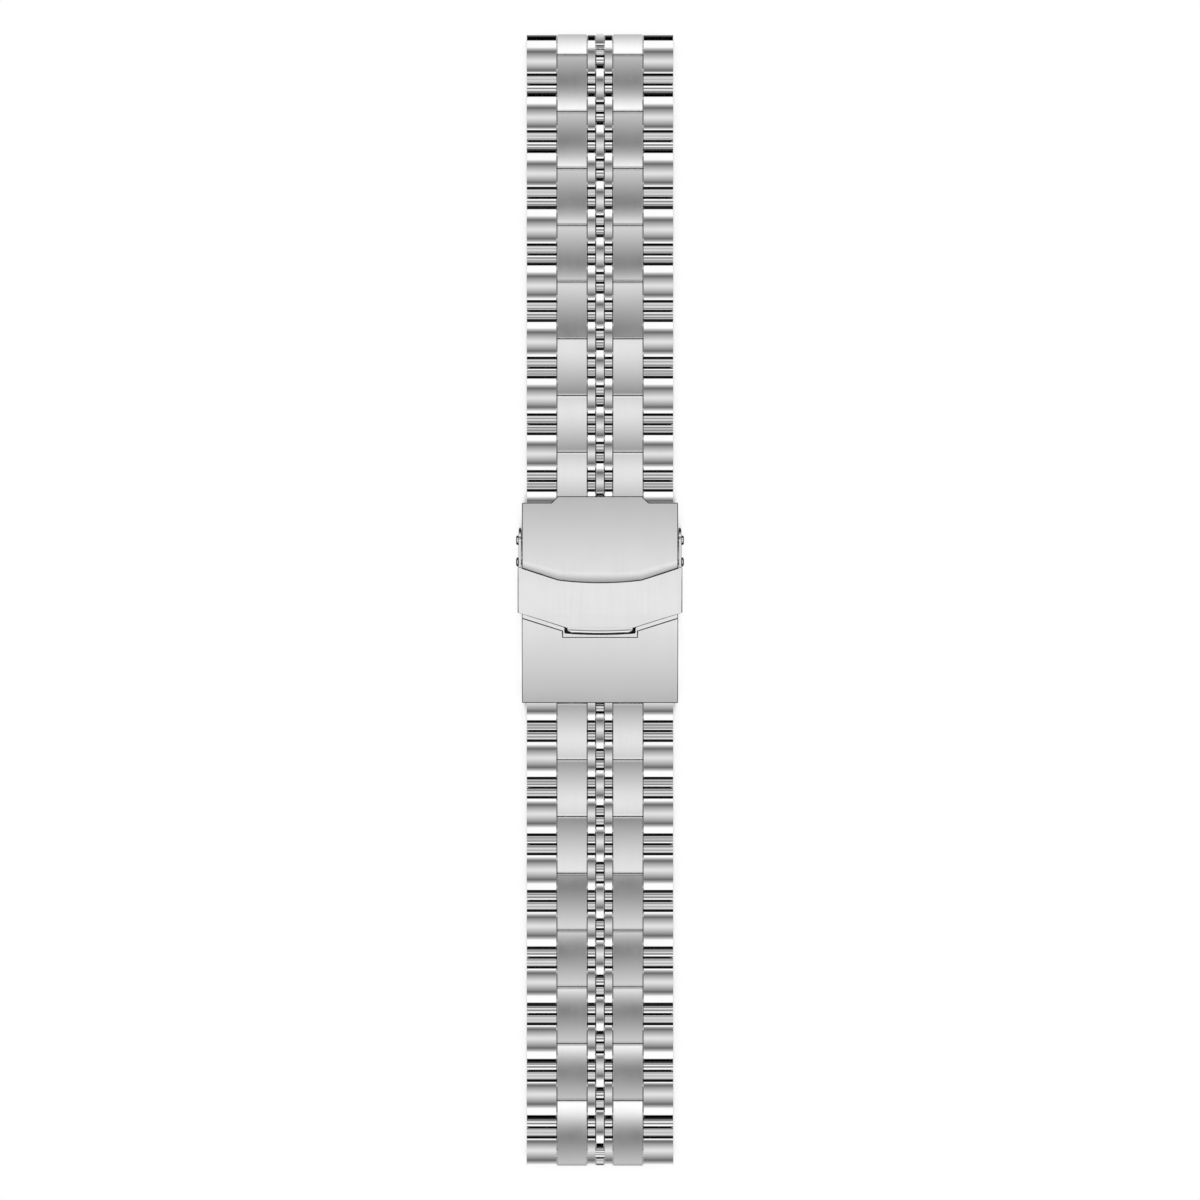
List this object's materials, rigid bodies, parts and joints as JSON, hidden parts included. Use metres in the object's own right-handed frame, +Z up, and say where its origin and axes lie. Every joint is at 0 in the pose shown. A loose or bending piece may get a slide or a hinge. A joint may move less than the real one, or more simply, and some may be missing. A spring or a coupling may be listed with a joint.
{
  "type": "link watch bracelet",
  "caption": "Steel link bracelet for a wrist watch, with polished and brushed hinged links and a folding clasp with safety flap and push buttons.",
  "frame": {"origin": "middle of the bracelet's length and width, on the surface it lies on", "axes": "+X across the band to the right of the picture, +Y along the band to the top of the picture, +Z up out of the clasp's outer face"},
  "size_m": [0.0252, 0.1694, 0.0054],
  "materials": {
    "polished_links": "mirror polished stainless steel",
    "brushed_links": "satin brushed stainless steel",
    "brushed_clasp": "fine satin brushed stainless steel",
    "blade_steel": "fine brushed stainless steel sheet",
    "polished_pins": "polished stainless steel",
    "spring_steel": "drawn spring steel wire"
  },
  "bodies": {
    "clasp": {"clasp_cover": "brushed_clasp", "hinge_block": "blade_steel", "cover_hinge_pin": "polished_pins", "flap_pivots": "polished_pins", "clasp_spring_bar": "polished_pins", "button_spring_left": "spring_steel", "button_spring_right": "spring_steel"},
    "safety_flap": {"safety_flap": "brushed_clasp"},
    "button_left": {"button_left": "polished_pins"},
    "button_right": {"button_right": "polished_pins"},
    "middle_blade": {"middle_blade": "blade_steel"},
    "long_blade": {"long_blade": "blade_steel", "catch_posts": "polished_pins", "blade_hinge_pin": "polished_pins"},
    "upper_outer_1": {"upper_outer_1": "polished_links"},
    "upper_inner_1": {"upper_inner_1": "brushed_links"},
    "upper_outer_2": {"upper_outer_2": "polished_links"},
    "upper_inner_2": {"upper_inner_2": "brushed_links"},
    "upper_outer_3": {"upper_outer_3": "polished_links"},
    "upper_inner_3": {"upper_inner_3": "brushed_links"},
    "upper_outer_4": {"upper_outer_4": "polished_links"},
    "upper_inner_4": {"upper_inner_4": "brushed_links"},
    "upper_outer_5": {"upper_outer_5": "polished_links"},
    "upper_inner_5": {"upper_inner_5": "brushed_links"},
    "upper_outer_6": {"upper_outer_6": "polished_links"},
    "upper_inner_6": {"upper_inner_6": "brushed_links"},
    "upper_outer_7": {"upper_outer_7": "polished_links"},
    "upper_inner_7": {"upper_inner_7": "brushed_links"},
    "upper_outer_8": {"upper_outer_8": "polished_links"},
    "upper_inner_8": {"upper_inner_8": "brushed_links"},
    "upper_end_link": {"upper_end_link": "polished_links"},
    "lower_outer_1": {"lower_outer_1": "polished_links"},
    "lower_inner_1": {"lower_inner_1": "brushed_links"},
    "lower_outer_2": {"lower_outer_2": "polished_links"},
    "lower_inner_2": {"lower_inner_2": "brushed_links"},
    "lower_outer_3": {"lower_outer_3": "polished_links"},
    "lower_inner_3": {"lower_inner_3": "brushed_links"},
    "lower_outer_4": {"lower_outer_4": "polished_links"},
    "lower_inner_4": {"lower_inner_4": "brushed_links"},
    "lower_outer_5": {"lower_outer_5": "polished_links"},
    "lower_inner_5": {"lower_inner_5": "brushed_links"},
    "lower_outer_6": {"lower_outer_6": "polished_links"},
    "lower_inner_6": {"lower_inner_6": "brushed_links"},
    "lower_outer_7": {"lower_outer_7": "polished_links"},
    "lower_inner_7": {"lower_inner_7": "brushed_links"},
    "lower_outer_8": {"lower_outer_8": "polished_links"},
    "lower_end_link": {"lower_end_link": "polished_links"}
  },
  "joints": [
    {"name": "flap_hinge", "type": "hinge", "parent": "clasp", "child": "safety_flap", "pos_m": [0, 0.00895, 0.0026], "axis": [-1, 0, 0], "range_deg": [0, 120]},
    {"name": "button_left_press", "type": "slide", "parent": "clasp", "child": "button_left", "axis": [1, 0, 0], "range_m": [0, 0.0005], "stiffness_N_per_m": 800, "deforming": ["button_spring_left"]},
    {"name": "button_right_press", "type": "slide", "parent": "clasp", "child": "button_right", "axis": [-1, 0, 0], "range_m": [0, 0.0005], "stiffness_N_per_m": 800, "deforming": ["button_spring_right"]},
    {"name": "middle_blade_hinge", "type": "hinge", "parent": "clasp", "child": "middle_blade", "pos_m": [0, 0.00569, 0.0012], "axis": [1, 0, 0], "range_deg": [0, 176]},
    {"name": "long_blade_hinge", "type": "hinge", "parent": "middle_blade", "child": "long_blade", "pos_m": [0, -0.00735, 0.0012], "axis": [-1, 0, 0], "range_deg": [0, 176]},
    {"name": "upper_outer_1_hinge", "type": "hinge", "parent": "long_blade", "child": "upper_outer_1", "pos_m": [0, 0.0115, 0.0016], "axis": [-1, 0, 0], "range_deg": [-3, 18]},
    {"name": "upper_inner_1_hinge", "type": "hinge", "parent": "upper_outer_1", "child": "upper_inner_1", "pos_m": [0, 0.01575, 0.0016], "axis": [-1, 0, 0], "range_deg": [-3, 18]},
    {"name": "upper_outer_2_hinge", "type": "hinge", "parent": "upper_inner_1", "child": "upper_outer_2", "pos_m": [0, 0.02, 0.0016], "axis": [-1, 0, 0], "range_deg": [-3, 18]},
    {"name": "upper_inner_2_hinge", "type": "hinge", "parent": "upper_outer_2", "child": "upper_inner_2", "pos_m": [0, 0.02425, 0.0016], "axis": [-1, 0, 0], "range_deg": [-3, 18]},
    {"name": "upper_outer_3_hinge", "type": "hinge", "parent": "upper_inner_2", "child": "upper_outer_3", "pos_m": [0, 0.0285, 0.0016], "axis": [-1, 0, 0], "range_deg": [-3, 18]},
    {"name": "upper_inner_3_hinge", "type": "hinge", "parent": "upper_outer_3", "child": "upper_inner_3", "pos_m": [0, 0.03275, 0.0016], "axis": [-1, 0, 0], "range_deg": [-3, 18]},
    {"name": "upper_outer_4_hinge", "type": "hinge", "parent": "upper_inner_3", "child": "upper_outer_4", "pos_m": [0, 0.037, 0.0016], "axis": [-1, 0, 0], "range_deg": [-3, 18]},
    {"name": "upper_inner_4_hinge", "type": "hinge", "parent": "upper_outer_4", "child": "upper_inner_4", "pos_m": [0, 0.04125, 0.0016], "axis": [-1, 0, 0], "range_deg": [-3, 18]},
    {"name": "upper_outer_5_hinge", "type": "hinge", "parent": "upper_inner_4", "child": "upper_outer_5", "pos_m": [0, 0.0455, 0.0016], "axis": [-1, 0, 0], "range_deg": [-3, 18]},
    {"name": "upper_inner_5_hinge", "type": "hinge", "parent": "upper_outer_5", "child": "upper_inner_5", "pos_m": [0, 0.04975, 0.0016], "axis": [-1, 0, 0], "range_deg": [-3, 18]},
    {"name": "upper_outer_6_hinge", "type": "hinge", "parent": "upper_inner_5", "child": "upper_outer_6", "pos_m": [0, 0.054, 0.0016], "axis": [-1, 0, 0], "range_deg": [-3, 18]},
    {"name": "upper_inner_6_hinge", "type": "hinge", "parent": "upper_outer_6", "child": "upper_inner_6", "pos_m": [0, 0.05825, 0.0016], "axis": [-1, 0, 0], "range_deg": [-3, 18]},
    {"name": "upper_outer_7_hinge", "type": "hinge", "parent": "upper_inner_6", "child": "upper_outer_7", "pos_m": [0, 0.0625, 0.0016], "axis": [-1, 0, 0], "range_deg": [-3, 18]},
    {"name": "upper_inner_7_hinge", "type": "hinge", "parent": "upper_outer_7", "child": "upper_inner_7", "pos_m": [0, 0.06675, 0.0016], "axis": [-1, 0, 0], "range_deg": [-3, 18]},
    {"name": "upper_outer_8_hinge", "type": "hinge", "parent": "upper_inner_7", "child": "upper_outer_8", "pos_m": [0, 0.071, 0.0016], "axis": [-1, 0, 0], "range_deg": [-3, 18]},
    {"name": "upper_inner_8_hinge", "type": "hinge", "parent": "upper_outer_8", "child": "upper_inner_8", "pos_m": [0, 0.07525, 0.0016], "axis": [-1, 0, 0], "range_deg": [-3, 18]},
    {"name": "upper_end_link_hinge", "type": "hinge", "parent": "upper_inner_8", "child": "upper_end_link", "pos_m": [0, 0.0795, 0.0016], "axis": [-1, 0, 0], "range_deg": [-3, 18]},
    {"name": "lower_outer_1_hinge", "type": "hinge", "parent": "clasp", "child": "lower_outer_1", "pos_m": [0, -0.0133, 0.0016], "axis": [1, 0, 0], "range_deg": [-3, 18]},
    {"name": "lower_inner_1_hinge", "type": "hinge", "parent": "lower_outer_1", "child": "lower_inner_1", "pos_m": [0, -0.01755, 0.0016], "axis": [1, 0, 0], "range_deg": [-3, 18]},
    {"name": "lower_outer_2_hinge", "type": "hinge", "parent": "lower_inner_1", "child": "lower_outer_2", "pos_m": [0, -0.0218, 0.0016], "axis": [1, 0, 0], "range_deg": [-3, 18]},
    {"name": "lower_inner_2_hinge", "type": "hinge", "parent": "lower_outer_2", "child": "lower_inner_2", "pos_m": [0, -0.02605, 0.0016], "axis": [1, 0, 0], "range_deg": [-3, 18]},
    {"name": "lower_outer_3_hinge", "type": "hinge", "parent": "lower_inner_2", "child": "lower_outer_3", "pos_m": [0, -0.0303, 0.0016], "axis": [1, 0, 0], "range_deg": [-3, 18]},
    {"name": "lower_inner_3_hinge", "type": "hinge", "parent": "lower_outer_3", "child": "lower_inner_3", "pos_m": [0, -0.03455, 0.0016], "axis": [1, 0, 0], "range_deg": [-3, 18]},
    {"name": "lower_outer_4_hinge", "type": "hinge", "parent": "lower_inner_3", "child": "lower_outer_4", "pos_m": [0, -0.0388, 0.0016], "axis": [1, 0, 0], "range_deg": [-3, 18]},
    {"name": "lower_inner_4_hinge", "type": "hinge", "parent": "lower_outer_4", "child": "lower_inner_4", "pos_m": [0, -0.04305, 0.0016], "axis": [1, 0, 0], "range_deg": [-3, 18]},
    {"name": "lower_outer_5_hinge", "type": "hinge", "parent": "lower_inner_4", "child": "lower_outer_5", "pos_m": [0, -0.0473, 0.0016], "axis": [1, 0, 0], "range_deg": [-3, 18]},
    {"name": "lower_inner_5_hinge", "type": "hinge", "parent": "lower_outer_5", "child": "lower_inner_5", "pos_m": [0, -0.05155, 0.0016], "axis": [1, 0, 0], "range_deg": [-3, 18]},
    {"name": "lower_outer_6_hinge", "type": "hinge", "parent": "lower_inner_5", "child": "lower_outer_6", "pos_m": [0, -0.0558, 0.0016], "axis": [1, 0, 0], "range_deg": [-3, 18]},
    {"name": "lower_inner_6_hinge", "type": "hinge", "parent": "lower_outer_6", "child": "lower_inner_6", "pos_m": [0, -0.06005, 0.0016], "axis": [1, 0, 0], "range_deg": [-3, 18]},
    {"name": "lower_outer_7_hinge", "type": "hinge", "parent": "lower_inner_6", "child": "lower_outer_7", "pos_m": [0, -0.0643, 0.0016], "axis": [1, 0, 0], "range_deg": [-3, 18]},
    {"name": "lower_inner_7_hinge", "type": "hinge", "parent": "lower_outer_7", "child": "lower_inner_7", "pos_m": [0, -0.06855, 0.0016], "axis": [1, 0, 0], "range_deg": [-3, 18]},
    {"name": "lower_outer_8_hinge", "type": "hinge", "parent": "lower_inner_7", "child": "lower_outer_8", "pos_m": [0, -0.0728, 0.0016], "axis": [1, 0, 0], "range_deg": [-3, 18]},
    {"name": "lower_end_link_hinge", "type": "hinge", "parent": "lower_outer_8", "child": "lower_end_link", "pos_m": [0, -0.07705, 0.0016], "axis": [1, 0, 0], "range_deg": [-3, 18]}
  ],
  "couplings": [
    {"joint": "long_blade_hinge", "follows": "middle_blade_hinge", "ratio": 1}
  ]
}
